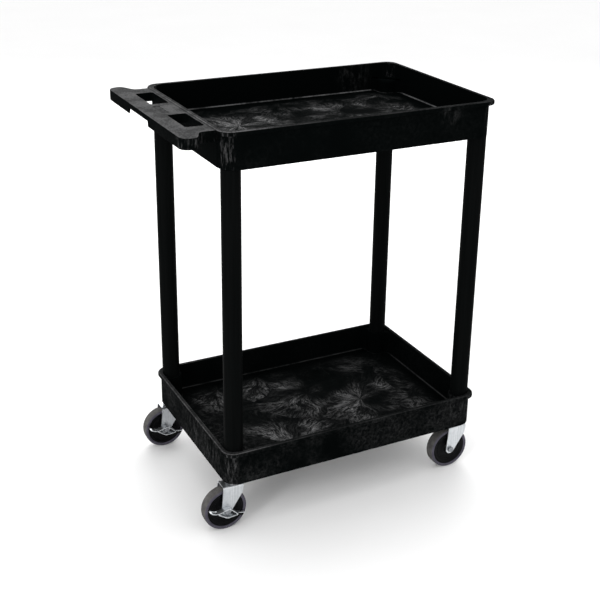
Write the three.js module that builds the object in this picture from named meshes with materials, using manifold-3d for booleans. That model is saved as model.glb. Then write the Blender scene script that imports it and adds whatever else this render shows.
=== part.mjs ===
// Two-shelf rolling utility cart: two moulded tubs, four tube legs and four swivel casters.
// Millimetres, +Z up. X is the long axis with the push handle at -X (left), Y is the depth with the
// front at -Y. The origin is on the floor, under the middle of the cart's outline.
import * as THREE from 'three';
import { mergeVertices } from 'three/addons/utils/BufferGeometryUtils.js';
import Module from 'manifold-3d';

const wasm = await Module();
wasm.setup();

const GAP = 0.3;                  // between pieces that touch
const EMBED = 1;                  // how far joined shapes run into each other
const WELD = 1e-4;                // points closer than this are one point

// Tubs
const TUB_HEIGHT = 84;
const LOWER_TUB_Z = 120;          // underside of the lower tub
const UPPER_TUB_Z = 862;          // underside of the upper tub
const WALL_HALF_X = 332;
const WALL_HALF_Y = 229;
const WALL = 5;
const LIP_OUT = 5;                // how far the rim stands proud of the wall
const LIP_HEIGHT = 11;
const LIP_ROUND = 2;
const FLOOR_TOP = 14;
const FLOOR_THICKNESS = 6;
const FLOOR_FILLET = 6;
const UPPER_CORNER = 42;          // radius of the wall's outer face at a corner
const LOWER_CORNER = 34;
const LIP_CORNER = 30;            // sharper than the wall's, so the rim juts out at the corners
const CORNER_STEPS = 5;

// Push handle, moulded on the upper tub
const HANDLE_OUT = 423;           // outer edge of the bar, from the tub's middle
const HANDLE_BAR_HALF = 238;
const HANDLE_NECK_HALF = 200;
const HANDLE_NECK_END = 364;
const HANDLE_LOBE_START = 397;
const HANDLE_CORNER = 22;
const HANDLE_TOP = 83;            // above the tub's underside
const HANDLE_PLATE = 4;
const HANDLE_SKIRT = 25;
const HANDLE_WALL = 4;
const SLOT_X = [-384, -343];
const SLOT_Y = [50, 157];
const SLOT_WALL = 3.5;
const SLOT_CORNER = 6;
const SLOT_SKIRT = 21;
const NOTCH_Y = [-37, 88];        // where the outer skirt is cut short
const NOTCH_SKIRT = 13;
const LABEL_X = [-388, -373];
const LABEL_HALF = 32;
const LABEL_DEPTH = 1.2;

// Legs and their sockets in the tub corners
const LEG_X = 305;
const LEG_Y = 200;
const LEG_RADIUS = 21.6;
const LEG_WALL = 4;
const SPIGOT_RADIUS = 17;         // the leg's reduced ends, inside the sockets
const BOSS_RADIUS = 26;
const UPPER_BOSS_HEIGHT = 48;     // above each tub's underside
const LOWER_BOSS_HEIGHT = 78;
const SOCKET_CLEARANCE = 0.4;
const SOCKET_FLOOR = 12;          // lower tub, above its underside
const SOCKET_DEPTH = 44;          // upper tub, up from its underside
const LEG_SEGMENTS = 20;

// Reinforcing bars in channels under each floor
const BAR_LENGTH = 540;
const BAR_WIDTH = 25;
const BAR_THICKNESS = 6;
const BAR_Y = 95;
const CHANNEL_RIB = 3.5;
const CROSS_RIB_SPACING = 110;

// Casters
const WHEEL_RADIUS = 52;
const TREAD_THICKNESS = 8;
const TRAIL = 26;                 // axle behind the kingpin, towards the handle
const FORK_INNER = 15.5;
const FORK_THICKNESS = 2.2;
const FORK_FOOT_RADIUS = 12;
const CROWN_X = [-33, 17];
const CROWN_THICKNESS = 2.6;
const CROWN_TOP = 113.2;
const FORK_KNEE = [13, 90];
const RACE_HEIGHT = 3;
const RACE_RADIUS = 18;
const RACE_BORE = 10;
const TOP_PLATE_RADIUS = 20;
const KINGPIN_RADIUS = 5.2;
const KINGPIN_HEAD_RADIUS = 8;
const KINGPIN_HEAD = 3.5;
const STEM_RADIUS = 5.5;
const STEM_TOP = 166;
const STEM_SOCKET_HEIGHT = 40;
const AXLE_RADIUS = 4;
const SLEEVE_RADIUS = 6;
const NUT_RADIUS = 7.5;
const NUT_HEIGHT = 5;
const BOLT_END = 1;                // how far the bolt stands out of its nut
const STEM_CHAMFER = 1.5;
const HUB_RADIUS = 12.5;
const HUB_HALF = 14.8;
const HUB_CLEARANCE = 0.4;
const WEB_HALF = 8.5;
const WEB_START = 15;
const WEB_END = 38;
const RIM_START = 40;
const RIM_HALF = 11.5;
const TREAD_FOOT_HALF = 12;       // half width of the tread where it meets the rim
const TREAD_SHOULDER = [49.5, 13.5];
const TREAD_CROWN_HALF = 10;
const WHEEL_SEGMENTS = 24;
const PIN_SEGMENTS = 16;

// Brake pedal, rocking about the axle; its tread side is lifted at rest
const PEDAL_TILT = 15;
const PEDAL_SHEET = 2;
const PEDAL_HUB_RADIUS = 11;
const PEDAL_DEPTH = 14;
const PEDAL_WING_DEPTH = 12;
const PEDAL_ARM_DEPTH = 6;
const PEDAL_WING = [[-46, 2], [-41, -3.5], [-30, -4.5], [-23, -2.5]];
const PEDAL_ARM = [[21, -1.5], [30, -3], [45, -2.5]];
const PEDAL_DIAMOND = [[25, -1.5], [-1, 13.5], [-27, -2], [-1, -12]];
const PEDAL_DIAMOND_INSIDE = 0.8; // inside of the diamond as a share of its outside
const SHOE_SIZE = [9, 5, 8];
const SHOE_GAP = 1;               // between the shoe and the side of the tread

const black = new THREE.Color(0x141515);
const plastic = new THREE.MeshStandardMaterial({ color: black, roughness: 0.55, metalness: 0 });
const legPlastic = new THREE.MeshStandardMaterial({ color: black, roughness: 0.4, metalness: 0 });
const zinc = new THREE.MeshStandardMaterial({ color: 0xc4c7ca, roughness: 0.3, metalness: 1 });
const aluminium = new THREE.MeshStandardMaterial({ color: 0xb5b8bb, roughness: 0.4, metalness: 1 });
const wheelPlastic = new THREE.MeshStandardMaterial({ color: 0x101012, roughness: 0.4, metalness: 0 });
const greyTread = new THREE.MeshStandardMaterial({ color: 0x6d6c74, roughness: 0.7, metalness: 0 });
const blackRubber = new THREE.MeshStandardMaterial({ color: 0x0e0e0e, roughness: 0.8, metalness: 0 });

const cart = new THREE.Group();
cart.name = 'rolling_utility_cart';
cart.position.x = (HANDLE_OUT - WALL_HALF_X - LIP_OUT) / 2;

// --- solids ---------------------------------------------------------------

// A closed mesh as a solid whose faces point out.
function solidFrom(geometry) {
  const bare = geometry.index ? geometry.clone() : geometry;
  bare.deleteAttribute('normal');
  bare.deleteAttribute('uv');
  const merged = mergeVertices(bare, WELD);
  const vertProperties = new Float32Array(merged.attributes.position.array);
  const triVerts = new Uint32Array(merged.index.array);
  if (signedVolume(vertProperties, triVerts) < 0) {
    triVerts.reverse();
  }
  return new wasm.Manifold(new wasm.Mesh({ numProp: 3, vertProperties, triVerts }));
}

function signedVolume(points, triangles) {
  const corner = [new THREE.Vector3(), new THREE.Vector3(), new THREE.Vector3()];
  let sum = 0;
  for (let i = 0; i < triangles.length; i += 3) {
    corner.forEach((v, k) => v.fromArray(points, triangles[i + k] * 3));
    sum += corner[0].dot(corner[1].clone().cross(corner[2]));
  }
  return sum / 6;
}

function geometryFrom(solid) {
  const { vertProperties, triVerts } = solid.getMesh();
  const geometry = new THREE.BufferGeometry();
  geometry.setAttribute('position', new THREE.BufferAttribute(vertProperties, 3));
  geometry.setIndex(new THREE.BufferAttribute(triVerts, 1));
  geometry.computeVertexNormals();
  return geometry;
}

function box(x, y, z) {
  const geometry = new THREE.BoxGeometry(x[1] - x[0], y[1] - y[0], z[1] - z[0]);
  geometry.translate((x[0] + x[1]) / 2, (y[0] + y[1]) / 2, (z[0] + z[1]) / 2);
  return solidFrom(geometry);
}

// A closed profile of [radius, height] points, turned about the vertical axis.
function turnedUpright(profile, segments) {
  return solidFrom(turning(profile, segments).rotateX(Math.PI / 2));
}

// The same, turned about Y: the height runs along Y.
function turnedAlongY(profile, segments) {
  return solidFrom(turning(profile, segments));
}

function turning(profile, segments) {
  const closed = [...profile, profile[0]].map(([r, h]) => new THREE.Vector2(r, h));
  return new THREE.LatheGeometry(closed, segments);
}

function post(radius, z, x = 0, y = 0, segments = LEG_SEGMENTS) {
  const geometry = new THREE.CylinderGeometry(radius, radius, z[1] - z[0], segments);
  geometry.rotateX(Math.PI / 2);
  geometry.translate(x, y, (z[0] + z[1]) / 2);
  return solidFrom(geometry);
}

function rodAlongY(radius, y, x = 0, z = 0, segments = PIN_SEGMENTS) {
  const geometry = new THREE.CylinderGeometry(radius, radius, y[1] - y[0], segments);
  geometry.translate(x, (y[0] + y[1]) / 2, z);
  return solidFrom(geometry);
}

function extrudedUp(shape, z, curveSegments = 5) {
  const geometry = new THREE.ExtrudeGeometry(shape, {
    depth: z[1] - z[0], bevelEnabled: false, curveSegments,
  });
  geometry.translate(0, 0, z[0]);
  return solidFrom(geometry);
}

// A shape drawn in X and Z, extruded along Y.
function extrudedAlongY(shape, y, curveSegments = 8) {
  const geometry = new THREE.ExtrudeGeometry(shape, {
    depth: y[1] - y[0], bevelEnabled: false, curveSegments,
  });
  geometry.rotateX(Math.PI / 2);
  geometry.translate(0, y[1], 0);
  return solidFrom(geometry);
}

// One level of a tub: a rectangle with round corners, anticlockwise from above.
function level(halfX, halfY, radius, z) {
  const points = [];
  for (let corner = 0; corner < 4; corner += 1) {
    const sideX = corner === 0 || corner === 3 ? 1 : -1;
    const sideY = corner < 2 ? 1 : -1;
    for (let step = 0; step <= CORNER_STEPS; step += 1) {
      const angle = (corner + step / CORNER_STEPS) * Math.PI / 2;
      const x = sideX * (halfX - radius) + radius * Math.cos(angle);
      const y = sideY * (halfY - radius) + radius * Math.sin(angle);
      points.push(new THREE.Vector3(x, y, z));
    }
  }
  return points;
}

// A solid through a stack of levels, closed by a flat cap at both ends.
function stacked(levels) {
  const count = levels[0].length;
  const positions = levels.flat().flatMap((p) => [p.x, p.y, p.z]);
  const index = [];
  for (let k = 0; k + 1 < levels.length; k += 1) {
    for (let i = 0; i < count; i += 1) {
      const a = k * count + i;
      const b = k * count + (i + 1) % count;
      index.push(a, b, b + count, a, b + count, a + count);
    }
  }
  const last = (levels.length - 1) * count;
  for (let i = 1; i + 1 < count; i += 1) {
    index.push(0, i + 1, i, last, last + i, last + i + 1);
  }
  const geometry = new THREE.BufferGeometry();
  geometry.setAttribute('position', new THREE.Float32BufferAttribute(positions, 3));
  geometry.setIndex(index);
  return solidFrom(geometry);
}

// A strip of even thickness along a line of [x, z] points.
function stripShape(line, thickness) {
  const points = line.map(([x, z]) => new THREE.Vector2(x, z));
  const side = (sign) => points.map((p, i) => {
    const before = p.clone().sub(points[Math.max(i - 1, 0)]);
    const after = points[Math.min(i + 1, points.length - 1)].clone().sub(p);
    const along = before.normalize().add(after.normalize()).normalize();
    return new THREE.Vector2(-along.y, along.x).multiplyScalar(sign * thickness / 2).add(p);
  });
  return new THREE.Shape([...side(1), ...side(-1).reverse()]);
}

function polygonShape(points) {
  return new THREE.Shape(points.map(([x, y]) => new THREE.Vector2(x, y)));
}

// --- tubs -----------------------------------------------------------------

const corners = [[-1, -1], [-1, 1], [1, -1], [1, 1]];

function union(solids) {
  return solids.reduce((all, solid) => all.add(solid));
}

function tubEnvelope(corner) {
  const wallTop = TUB_HEIGHT - LIP_HEIGHT;
  const lipX = WALL_HALF_X + LIP_OUT;
  const lipY = WALL_HALF_Y + LIP_OUT;
  return stacked([
    level(WALL_HALF_X, WALL_HALF_Y, corner, 0),
    level(WALL_HALF_X, WALL_HALF_Y, corner, wallTop),
    level(lipX, lipY, LIP_CORNER, wallTop + LIP_ROUND),
    level(lipX, lipY, LIP_CORNER, TUB_HEIGHT - LIP_ROUND),
    level(lipX - LIP_ROUND, lipY - LIP_ROUND, LIP_CORNER - LIP_ROUND, TUB_HEIGHT),
  ]);
}

function tubCavity(wallCorner) {
  const halfX = WALL_HALF_X - WALL;
  const halfY = WALL_HALF_Y - WALL;
  const corner = wallCorner - WALL;
  const foot = FLOOR_FILLET;
  const bend = FLOOR_FILLET * (1 - Math.SQRT1_2);
  return stacked([
    level(halfX - foot, halfY - foot, corner - foot, FLOOR_TOP),
    level(halfX - bend, halfY - bend, corner - bend, FLOOR_TOP + bend),
    level(halfX, halfY, corner, FLOOR_TOP + foot),
    level(halfX, halfY, corner, TUB_HEIGHT + EMBED),
  ]);
}

function tubUndercut(wallCorner) {
  const corner = wallCorner - WALL;
  const top = FLOOR_TOP - FLOOR_THICKNESS;
  return stacked([
    level(WALL_HALF_X - WALL, WALL_HALF_Y - WALL, corner, -EMBED),
    level(WALL_HALF_X - WALL, WALL_HALF_Y - WALL, corner, top),
  ]);
}

// Round posts of material left standing in the corners, for the leg sockets.
function cornerBosses(height) {
  const z = [-2 * EMBED, height];
  return union(corners.map(([sx, sy]) => post(BOSS_RADIUS, z, sx * LEG_X, sy * LEG_Y)));
}

// Ribs under the floor: a channel for each bar, and cross ribs between the channels.
function undersideRibs() {
  const height = [0, FLOOR_TOP - FLOOR_THICKNESS + EMBED];
  const channelHalf = BAR_WIDTH / 2 + GAP;
  const inner = BAR_Y - channelHalf - CHANNEL_RIB;
  const ribs = [];
  for (const side of [-1, 1]) {
    for (const edge of [-channelHalf - CHANNEL_RIB, channelHalf]) {
      const y = side * BAR_Y + edge;
      ribs.push(box([-BAR_LENGTH / 2, BAR_LENGTH / 2], [y, y + CHANNEL_RIB], height));
    }
  }
  for (let k = -2; k <= 2; k += 1) {
    const x = k * CROSS_RIB_SPACING;
    const width = [x - CHANNEL_RIB / 2, x + CHANNEL_RIB / 2];
    ribs.push(box(width, [-inner - EMBED, inner + EMBED], height));
  }
  return union(ribs);
}

// A hole in each corner for something of this radius on the leg's axis.
function legHoles(radius, z) {
  const hole = radius + SOCKET_CLEARANCE;
  return union(corners.map(([sx, sy]) => post(hole, z, sx * LEG_X, sy * LEG_Y)));
}

function stemHoles() {
  const radius = STEM_RADIUS + SOCKET_CLEARANCE;
  const z = [-EMBED, SOCKET_FLOOR + EMBED];
  return union(corners.map(([sx, sy]) => post(radius, z, sx * LEG_X, sy * LEG_Y, PIN_SEGMENTS)));
}

function plainTub(corner, bossHeight) {
  const bosses = cornerBosses(bossHeight);
  return tubEnvelope(corner)
    .subtract(tubCavity(corner).subtract(bosses))
    .subtract(tubUndercut(corner).subtract(bosses))
    .add(undersideRibs());
}

function lowerTub() {
  return plainTub(LOWER_CORNER, LOWER_BOSS_HEIGHT)
    .subtract(legHoles(SPIGOT_RADIUS, [SOCKET_FLOOR, LOWER_BOSS_HEIGHT + EMBED]))
    .subtract(legHoles(LEG_RADIUS, [LOWER_BOSS_HEIGHT, TUB_HEIGHT + EMBED]))
    .subtract(stemHoles());
}

function upperTub() {
  return plainTub(UPPER_CORNER, UPPER_BOSS_HEIGHT)
    .add(pushHandle())
    .subtract(legHoles(SPIGOT_RADIUS, [-EMBED, SOCKET_DEPTH]));
}

// The handle's outline from above: a neck on the tub, then a wider bar with rounded ends.
function handleOutline(inset) {
  const neck = HANDLE_NECK_HALF - inset;
  const bar = HANDLE_BAR_HALF - inset;
  const out = -HANDLE_OUT + inset;
  const root = -WALL_HALF_X + WALL - EMBED;
  const neckEnd = -HANDLE_NECK_END - inset / 2;
  const lobe = -HANDLE_LOBE_START;
  const bend = (neckEnd + lobe) / 2;
  const shape = new THREE.Shape();
  shape.moveTo(root, neck);
  shape.lineTo(neckEnd, neck);
  shape.bezierCurveTo(bend, neck, bend, bar, lobe, bar);
  shape.quadraticCurveTo(out, bar, out, bar - HANDLE_CORNER);
  shape.lineTo(out, -bar + HANDLE_CORNER);
  shape.quadraticCurveTo(out, -bar, lobe, -bar);
  shape.bezierCurveTo(bend, -bar, bend, -neck, neckEnd, -neck);
  shape.lineTo(root, -neck);
  return shape;
}

function slotOutline(side, grow) {
  const x = [SLOT_X[0] - grow, SLOT_X[1] + grow];
  const y = [SLOT_Y[0] - grow, SLOT_Y[1] + grow].map((v) => v * side).sort((a, b) => a - b);
  const r = SLOT_CORNER + grow;
  const shape = new THREE.Shape();
  shape.moveTo(x[0] + r, y[0]);
  shape.lineTo(x[1] - r, y[0]);
  shape.quadraticCurveTo(x[1], y[0], x[1], y[0] + r);
  shape.lineTo(x[1], y[1] - r);
  shape.quadraticCurveTo(x[1], y[1], x[1] - r, y[1]);
  shape.lineTo(x[0] + r, y[1]);
  shape.quadraticCurveTo(x[0], y[1], x[0], y[1] - r);
  shape.lineTo(x[0], y[0] + r);
  shape.quadraticCurveTo(x[0], y[0], x[0] + r, y[0]);
  return shape;
}

// A shell open underneath, with a skirt all round and round each hand slot.
function pushHandle() {
  const bottom = HANDLE_TOP - HANDLE_SKIRT;
  const ceiling = HANDLE_TOP - HANDLE_PLATE;
  let handle = extrudedUp(handleOutline(0), [bottom, HANDLE_TOP])
    .subtract(extrudedUp(handleOutline(HANDLE_WALL), [bottom - EMBED, ceiling]));
  for (const side of [-1, 1]) {
    const slotWall = [HANDLE_TOP - SLOT_SKIRT, ceiling + EMBED];
    handle = handle
      .add(extrudedUp(slotOutline(side, SLOT_WALL), slotWall, 3))
      .subtract(extrudedUp(slotOutline(side, 0), [bottom, HANDLE_TOP + EMBED], 3));
  }
  const notchX = [-HANDLE_OUT - EMBED, -HANDLE_OUT + HANDLE_WALL + EMBED];
  const labelZ = [HANDLE_TOP - LABEL_DEPTH, HANDLE_TOP + EMBED];
  return handle
    .subtract(box(notchX, NOTCH_Y, [bottom - EMBED, HANDLE_TOP - NOTCH_SKIRT]))
    .subtract(box(LABEL_X, [-LABEL_HALF, LABEL_HALF], labelZ));
}

// --- legs, bars and sockets -----------------------------------------------

// A tube that stands between the two tubs, its ends reduced to fit the sockets.
function leg() {
  const bottom = LOWER_TUB_Z + SOCKET_FLOOR + GAP;
  const lowShoulder = LOWER_TUB_Z + LOWER_BOSS_HEIGHT + GAP;
  const highShoulder = UPPER_TUB_Z - GAP;
  const top = UPPER_TUB_Z + SOCKET_DEPTH - GAP;
  const bore = LEG_RADIUS - LEG_WALL;
  const spigotBore = SPIGOT_RADIUS - LEG_WALL;
  return turnedUpright([
    [spigotBore, bottom], [SPIGOT_RADIUS, bottom], [SPIGOT_RADIUS, lowShoulder],
    [LEG_RADIUS, lowShoulder], [LEG_RADIUS, highShoulder], [SPIGOT_RADIUS, highShoulder],
    [SPIGOT_RADIUS, top], [spigotBore, top], [spigotBore, highShoulder - LEG_WALL],
    [bore, highShoulder - LEG_WALL], [bore, lowShoulder + LEG_WALL],
    [spigotBore, lowShoulder + LEG_WALL],
  ], LEG_SEGMENTS);
}

function reinforcingBar() {
  return box([-BAR_LENGTH / 2, BAR_LENGTH / 2], [-BAR_WIDTH / 2, BAR_WIDTH / 2], [0, BAR_THICKNESS]);
}

// A plug inside the leg's bottom end that grips the caster's stem.
function stemSocket() {
  const bottom = LOWER_TUB_Z + SOCKET_FLOOR + GAP;
  const top = bottom + STEM_SOCKET_HEIGHT;
  const outer = SPIGOT_RADIUS - LEG_WALL - GAP;
  const inner = STEM_RADIUS + GAP;
  return turnedUpright([[inner, bottom], [outer, bottom], [outer, top], [inner, top]], PIN_SEGMENTS);
}

// --- casters --------------------------------------------------------------

// The stem, its top plate and the kingpin with its riveted head, in one piece.
function casterStem() {
  const plateBottom = CROWN_TOP + RACE_HEIGHT + 2 * GAP;
  const plateTop = LOWER_TUB_Z - GAP;
  const headTop = CROWN_TOP - CROWN_THICKNESS - GAP;
  const headBottom = headTop - KINGPIN_HEAD;
  return turnedUpright([
    [0, headBottom], [KINGPIN_HEAD_RADIUS, headBottom], [KINGPIN_HEAD_RADIUS, headTop],
    [KINGPIN_RADIUS, headTop], [KINGPIN_RADIUS, plateBottom], [TOP_PLATE_RADIUS, plateBottom],
    [TOP_PLATE_RADIUS, plateTop], [STEM_RADIUS, plateTop], [STEM_RADIUS, STEM_TOP - STEM_CHAMFER],
    [STEM_RADIUS - STEM_CHAMFER, STEM_TOP], [0, STEM_TOP],
  ], PIN_SEGMENTS);
}

function ballRace() {
  const bottom = CROWN_TOP + GAP;
  const top = bottom + RACE_HEIGHT;
  const profile = [[RACE_BORE, bottom], [RACE_RADIUS, bottom], [RACE_RADIUS, top], [RACE_BORE, top]];
  return turnedUpright(profile, PIN_SEGMENTS);
}

// One leg of the fork from the side: wide at the crown, tapering to a round foot at the axle.
function forkLegShape() {
  const knee = new THREE.Vector2(...FORK_KNEE);
  const foot = new THREE.Vector2(-TRAIL, WHEEL_RADIUS);
  const toKnee = knee.clone().sub(foot);
  const tangent = toKnee.angle() - Math.acos(FORK_FOOT_RADIUS / toKnee.length());
  const shape = new THREE.Shape();
  shape.moveTo(CROWN_X[0], CROWN_TOP);
  shape.lineTo(foot.x - FORK_FOOT_RADIUS, foot.y);
  shape.absarc(foot.x, foot.y, FORK_FOOT_RADIUS, Math.PI, 2 * Math.PI + tangent, false);
  shape.lineTo(knee.x, knee.y);
  shape.lineTo(CROWN_X[1], CROWN_TOP);
  return shape;
}

function fork() {
  const outer = FORK_INNER + FORK_THICKNESS;
  const crown = box(CROWN_X, [-outer, outer], [CROWN_TOP - CROWN_THICKNESS, CROWN_TOP]);
  const throughCrown = [CROWN_TOP - 2 * CROWN_THICKNESS, CROWN_TOP + EMBED];
  const pinHole = post(KINGPIN_RADIUS + GAP, throughCrown, 0, 0, PIN_SEGMENTS);
  const axleHole = rodAlongY(AXLE_RADIUS + GAP, [-outer - EMBED, outer + EMBED], -TRAIL, WHEEL_RADIUS);
  return crown
    .add(extrudedAlongY(forkLegShape(), [-outer, -FORK_INNER]))
    .add(extrudedAlongY(forkLegShape(), [FORK_INNER, outer]))
    .subtract(pinHole)
    .subtract(axleHole);
}

// Hub, web and rim, turned about the axle.
function wheelCore() {
  const bore = SLEEVE_RADIUS + HUB_CLEARANCE;
  const rim = WHEEL_RADIUS - TREAD_THICKNESS - GAP;
  const half = [
    [bore, HUB_HALF], [HUB_RADIUS, HUB_HALF], [WEB_START, WEB_HALF], [WEB_END, WEB_HALF],
    [RIM_START, RIM_HALF], [rim, RIM_HALF],
  ];
  const mirrored = half.map(([r, y]) => [r, -y]).reverse();
  return turnedAlongY([...half, ...mirrored], WHEEL_SEGMENTS);
}

function tread() {
  const inner = WHEEL_RADIUS - TREAD_THICKNESS;
  const half = [[inner, TREAD_FOOT_HALF], TREAD_SHOULDER, [WHEEL_RADIUS, TREAD_CROWN_HALF]];
  const mirrored = half.map(([r, y]) => [r, -y]).reverse();
  return turnedAlongY([...half, ...mirrored], WHEEL_SEGMENTS);
}

function axleSleeve() {
  const half = FORK_INNER - GAP;
  const bore = AXLE_RADIUS + GAP;
  const profile = [[bore, half], [SLEEVE_RADIUS, half], [SLEEVE_RADIUS, -half], [bore, -half]];
  return turnedAlongY(profile, PIN_SEGMENTS);
}

// A hexagon-headed bolt; on a braked caster its head sits outside the pedal's hub.
function axleBolt(packed) {
  const headInner = -FORK_INNER - FORK_THICKNESS - GAP - packed;
  const end = FORK_INNER + FORK_THICKNESS + GAP + NUT_HEIGHT + BOLT_END;
  return rodAlongY(AXLE_RADIUS, [headInner - EMBED, end])
    .add(rodAlongY(NUT_RADIUS, [headInner - NUT_HEIGHT, headInner], 0, 0, 6));
}

function axleNut() {
  const inner = FORK_INNER + FORK_THICKNESS + GAP;
  return rodAlongY(NUT_RADIUS, [inner, inner + NUT_HEIGHT], 0, 0, 6)
    .subtract(rodAlongY(AXLE_RADIUS + GAP, [inner - EMBED, inner + NUT_HEIGHT + EMBED]));
}

// A bent sheet: a hub plate on the axle, a diamond round the bolt head, a wing and an arm.
function brakePedal() {
  const back = -FORK_INNER - FORK_THICKNESS - GAP;
  const diamond = polygonShape(PEDAL_DIAMOND);
  const inner = PEDAL_DIAMOND.map(([x, z]) => [x * PEDAL_DIAMOND_INSIDE, z * PEDAL_DIAMOND_INSIDE]);
  diamond.holes.push(polygonShape(inner));
  return extrudedAlongY(diamond, [back - PEDAL_DEPTH, back])
    .add(extrudedAlongY(stripShape(PEDAL_WING, PEDAL_SHEET), [back - PEDAL_WING_DEPTH, back]))
    .add(extrudedAlongY(stripShape(PEDAL_ARM, PEDAL_SHEET), [back - PEDAL_ARM_DEPTH, back]))
    .add(rodAlongY(PEDAL_HUB_RADIUS, [back - PEDAL_SHEET, back]))
    .subtract(rodAlongY(AXLE_RADIUS + GAP, [back - PEDAL_SHEET - EMBED, back + EMBED]));
}

// The block under the end of the pedal's arm, beside the tread.
function brakeShoe() {
  const end = PEDAL_ARM[PEDAL_ARM.length - 1];
  const top = end[1] - PEDAL_SHEET / 2 - GAP;
  const y = -TREAD_SHOULDER[1] - SHOE_GAP - SHOE_SIZE[1];
  return box([end[0] - SHOE_SIZE[0], end[0]], [y, y + SHOE_SIZE[1]], [top - SHOE_SIZE[2], top]);
}

// --- assembly -------------------------------------------------------------

function place(name, solid, material, parent, x = 0, y = 0, z = 0) {
  const mesh = new THREE.Mesh(geometryFrom(solid), material.clone());
  mesh.name = name;
  mesh.position.set(x, y, z);
  parent.add(mesh);
  return mesh;
}

place('upper_tub', upperTub(), plastic, cart, 0, 0, UPPER_TUB_Z);
place('lower_tub', lowerTub(), plastic, cart, 0, 0, LOWER_TUB_Z);

const barLift = (FLOOR_TOP - FLOOR_THICKNESS - BAR_THICKNESS) - GAP;
for (const [tub, z] of [['upper', UPPER_TUB_Z], ['lower', LOWER_TUB_Z]]) {
  place(`${tub}_bar_front`, reinforcingBar(), aluminium, cart, 0, -BAR_Y, z + barLift);
  place(`${tub}_bar_rear`, reinforcingBar(), aluminium, cart, 0, BAR_Y, z + barLift);
}

for (const [sx, sy] of corners) {
  const corner = `${sx < 0 ? 'left' : 'right'}_${sy < 0 ? 'front' : 'rear'}`;
  const braked = sx < 0;
  const stand = new THREE.Group();
  stand.position.set(sx * LEG_X, sy * LEG_Y, 0);
  cart.add(stand);
  place(`leg_${corner}`, leg(), legPlastic, stand);
  place(`stem_socket_${corner}`, stemSocket(), plastic, stand);
  place(`caster_stem_${corner}`, casterStem(), zinc, stand);
  place(`ball_race_${corner}`, ballRace(), zinc, stand);
  place(`fork_${corner}`, fork(), zinc, stand);

  const axle = new THREE.Group();
  axle.position.set(-TRAIL, 0, WHEEL_RADIUS);
  stand.add(axle);
  place(`axle_bolt_${corner}`, axleBolt(braked ? PEDAL_SHEET + GAP : 0), zinc, axle);
  place(`axle_nut_${corner}`, axleNut(), zinc, axle);
  place(`axle_sleeve_${corner}`, axleSleeve(), zinc, axle);
  place(`wheel_core_${corner}`, wheelCore(), wheelPlastic, axle);
  place(`tread_${corner}`, tread(), greyTread, axle);
  if (braked) {
    const brake = new THREE.Group();
    brake.rotation.y = THREE.MathUtils.degToRad(PEDAL_TILT);
    axle.add(brake);
    place(`brake_pedal_${corner}`, brakePedal(), zinc, brake);
    place(`brake_shoe_${corner}`, brakeShoe(), blackRubber, brake);
  }
}

export default cart;
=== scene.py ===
import math

import bmesh
import bpy
from mathutils import Matrix, Vector
from mathutils.geometry import tessellate_polygon


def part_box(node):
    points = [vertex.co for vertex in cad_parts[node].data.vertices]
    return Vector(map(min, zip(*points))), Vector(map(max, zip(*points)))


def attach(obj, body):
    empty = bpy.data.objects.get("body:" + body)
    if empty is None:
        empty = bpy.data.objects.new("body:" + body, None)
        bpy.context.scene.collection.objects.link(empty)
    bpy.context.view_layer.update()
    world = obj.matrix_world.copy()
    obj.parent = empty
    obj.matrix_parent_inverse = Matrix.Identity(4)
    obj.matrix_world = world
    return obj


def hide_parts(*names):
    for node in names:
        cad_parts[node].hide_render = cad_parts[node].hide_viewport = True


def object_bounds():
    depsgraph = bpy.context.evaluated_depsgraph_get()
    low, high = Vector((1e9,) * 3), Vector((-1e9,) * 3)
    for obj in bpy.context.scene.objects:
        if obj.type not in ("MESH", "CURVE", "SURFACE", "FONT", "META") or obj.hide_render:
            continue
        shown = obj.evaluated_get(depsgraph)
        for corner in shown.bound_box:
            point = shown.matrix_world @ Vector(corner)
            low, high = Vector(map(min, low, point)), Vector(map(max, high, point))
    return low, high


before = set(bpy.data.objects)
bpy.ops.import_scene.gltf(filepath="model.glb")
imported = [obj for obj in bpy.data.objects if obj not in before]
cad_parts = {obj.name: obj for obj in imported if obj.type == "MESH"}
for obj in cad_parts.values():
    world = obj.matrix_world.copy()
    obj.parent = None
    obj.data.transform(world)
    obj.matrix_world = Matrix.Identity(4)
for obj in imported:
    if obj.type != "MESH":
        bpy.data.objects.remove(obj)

cad_low, cad_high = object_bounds()

# Lengths below are millimetres unless a name ends in _M or _m; meshes are made in metres.
MM = 0.001
ON_FLOOR = Vector((1, 1, 0))  # times a point: the point below it at height 0

# --- what the frame gives ---

CORNERS = ["left_front", "left_rear", "right_front", "right_rear"]
BRAKED = ["left_front", "left_rear"]


def centre_of(node):
    low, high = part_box(node)
    return (low + high) / 2


def size_of(node):
    low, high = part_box(node)
    return (high - low) / MM


def ends_of(node, axis, origin=0.0):
    """Both ends of a node's box along an axis."""
    return [(end[axis] - origin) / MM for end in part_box(node)]


lower_low, lower_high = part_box("lower_tub")
upper_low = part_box("upper_tub")[0]
TUB_MIDDLE_X_M = (lower_low.x + lower_high.x) / 2
TUB_HEIGHT = (lower_high.z - lower_low.z) / MM
RIM_HALF_X = (lower_high.x - lower_low.x) / 2 / MM
RIM_HALF_Y = (lower_high.y - lower_low.y) / 2 / MM
LEG_AT = centre_of("leg_right_rear") / MM - Vector((TUB_MIDDLE_X_M / MM, 0, 0))
LEG_RADIUS = size_of("leg_right_rear").x / 2
HANDLE_OUT = TUB_MIDDLE_X_M / MM - upper_low.x / MM
HANDLE_BAR_HALF = size_of("upper_tub").y / 2
WHEEL_RADIUS = size_of("tread_right_front").x / 2

# --- tub dimensions ---

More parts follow.
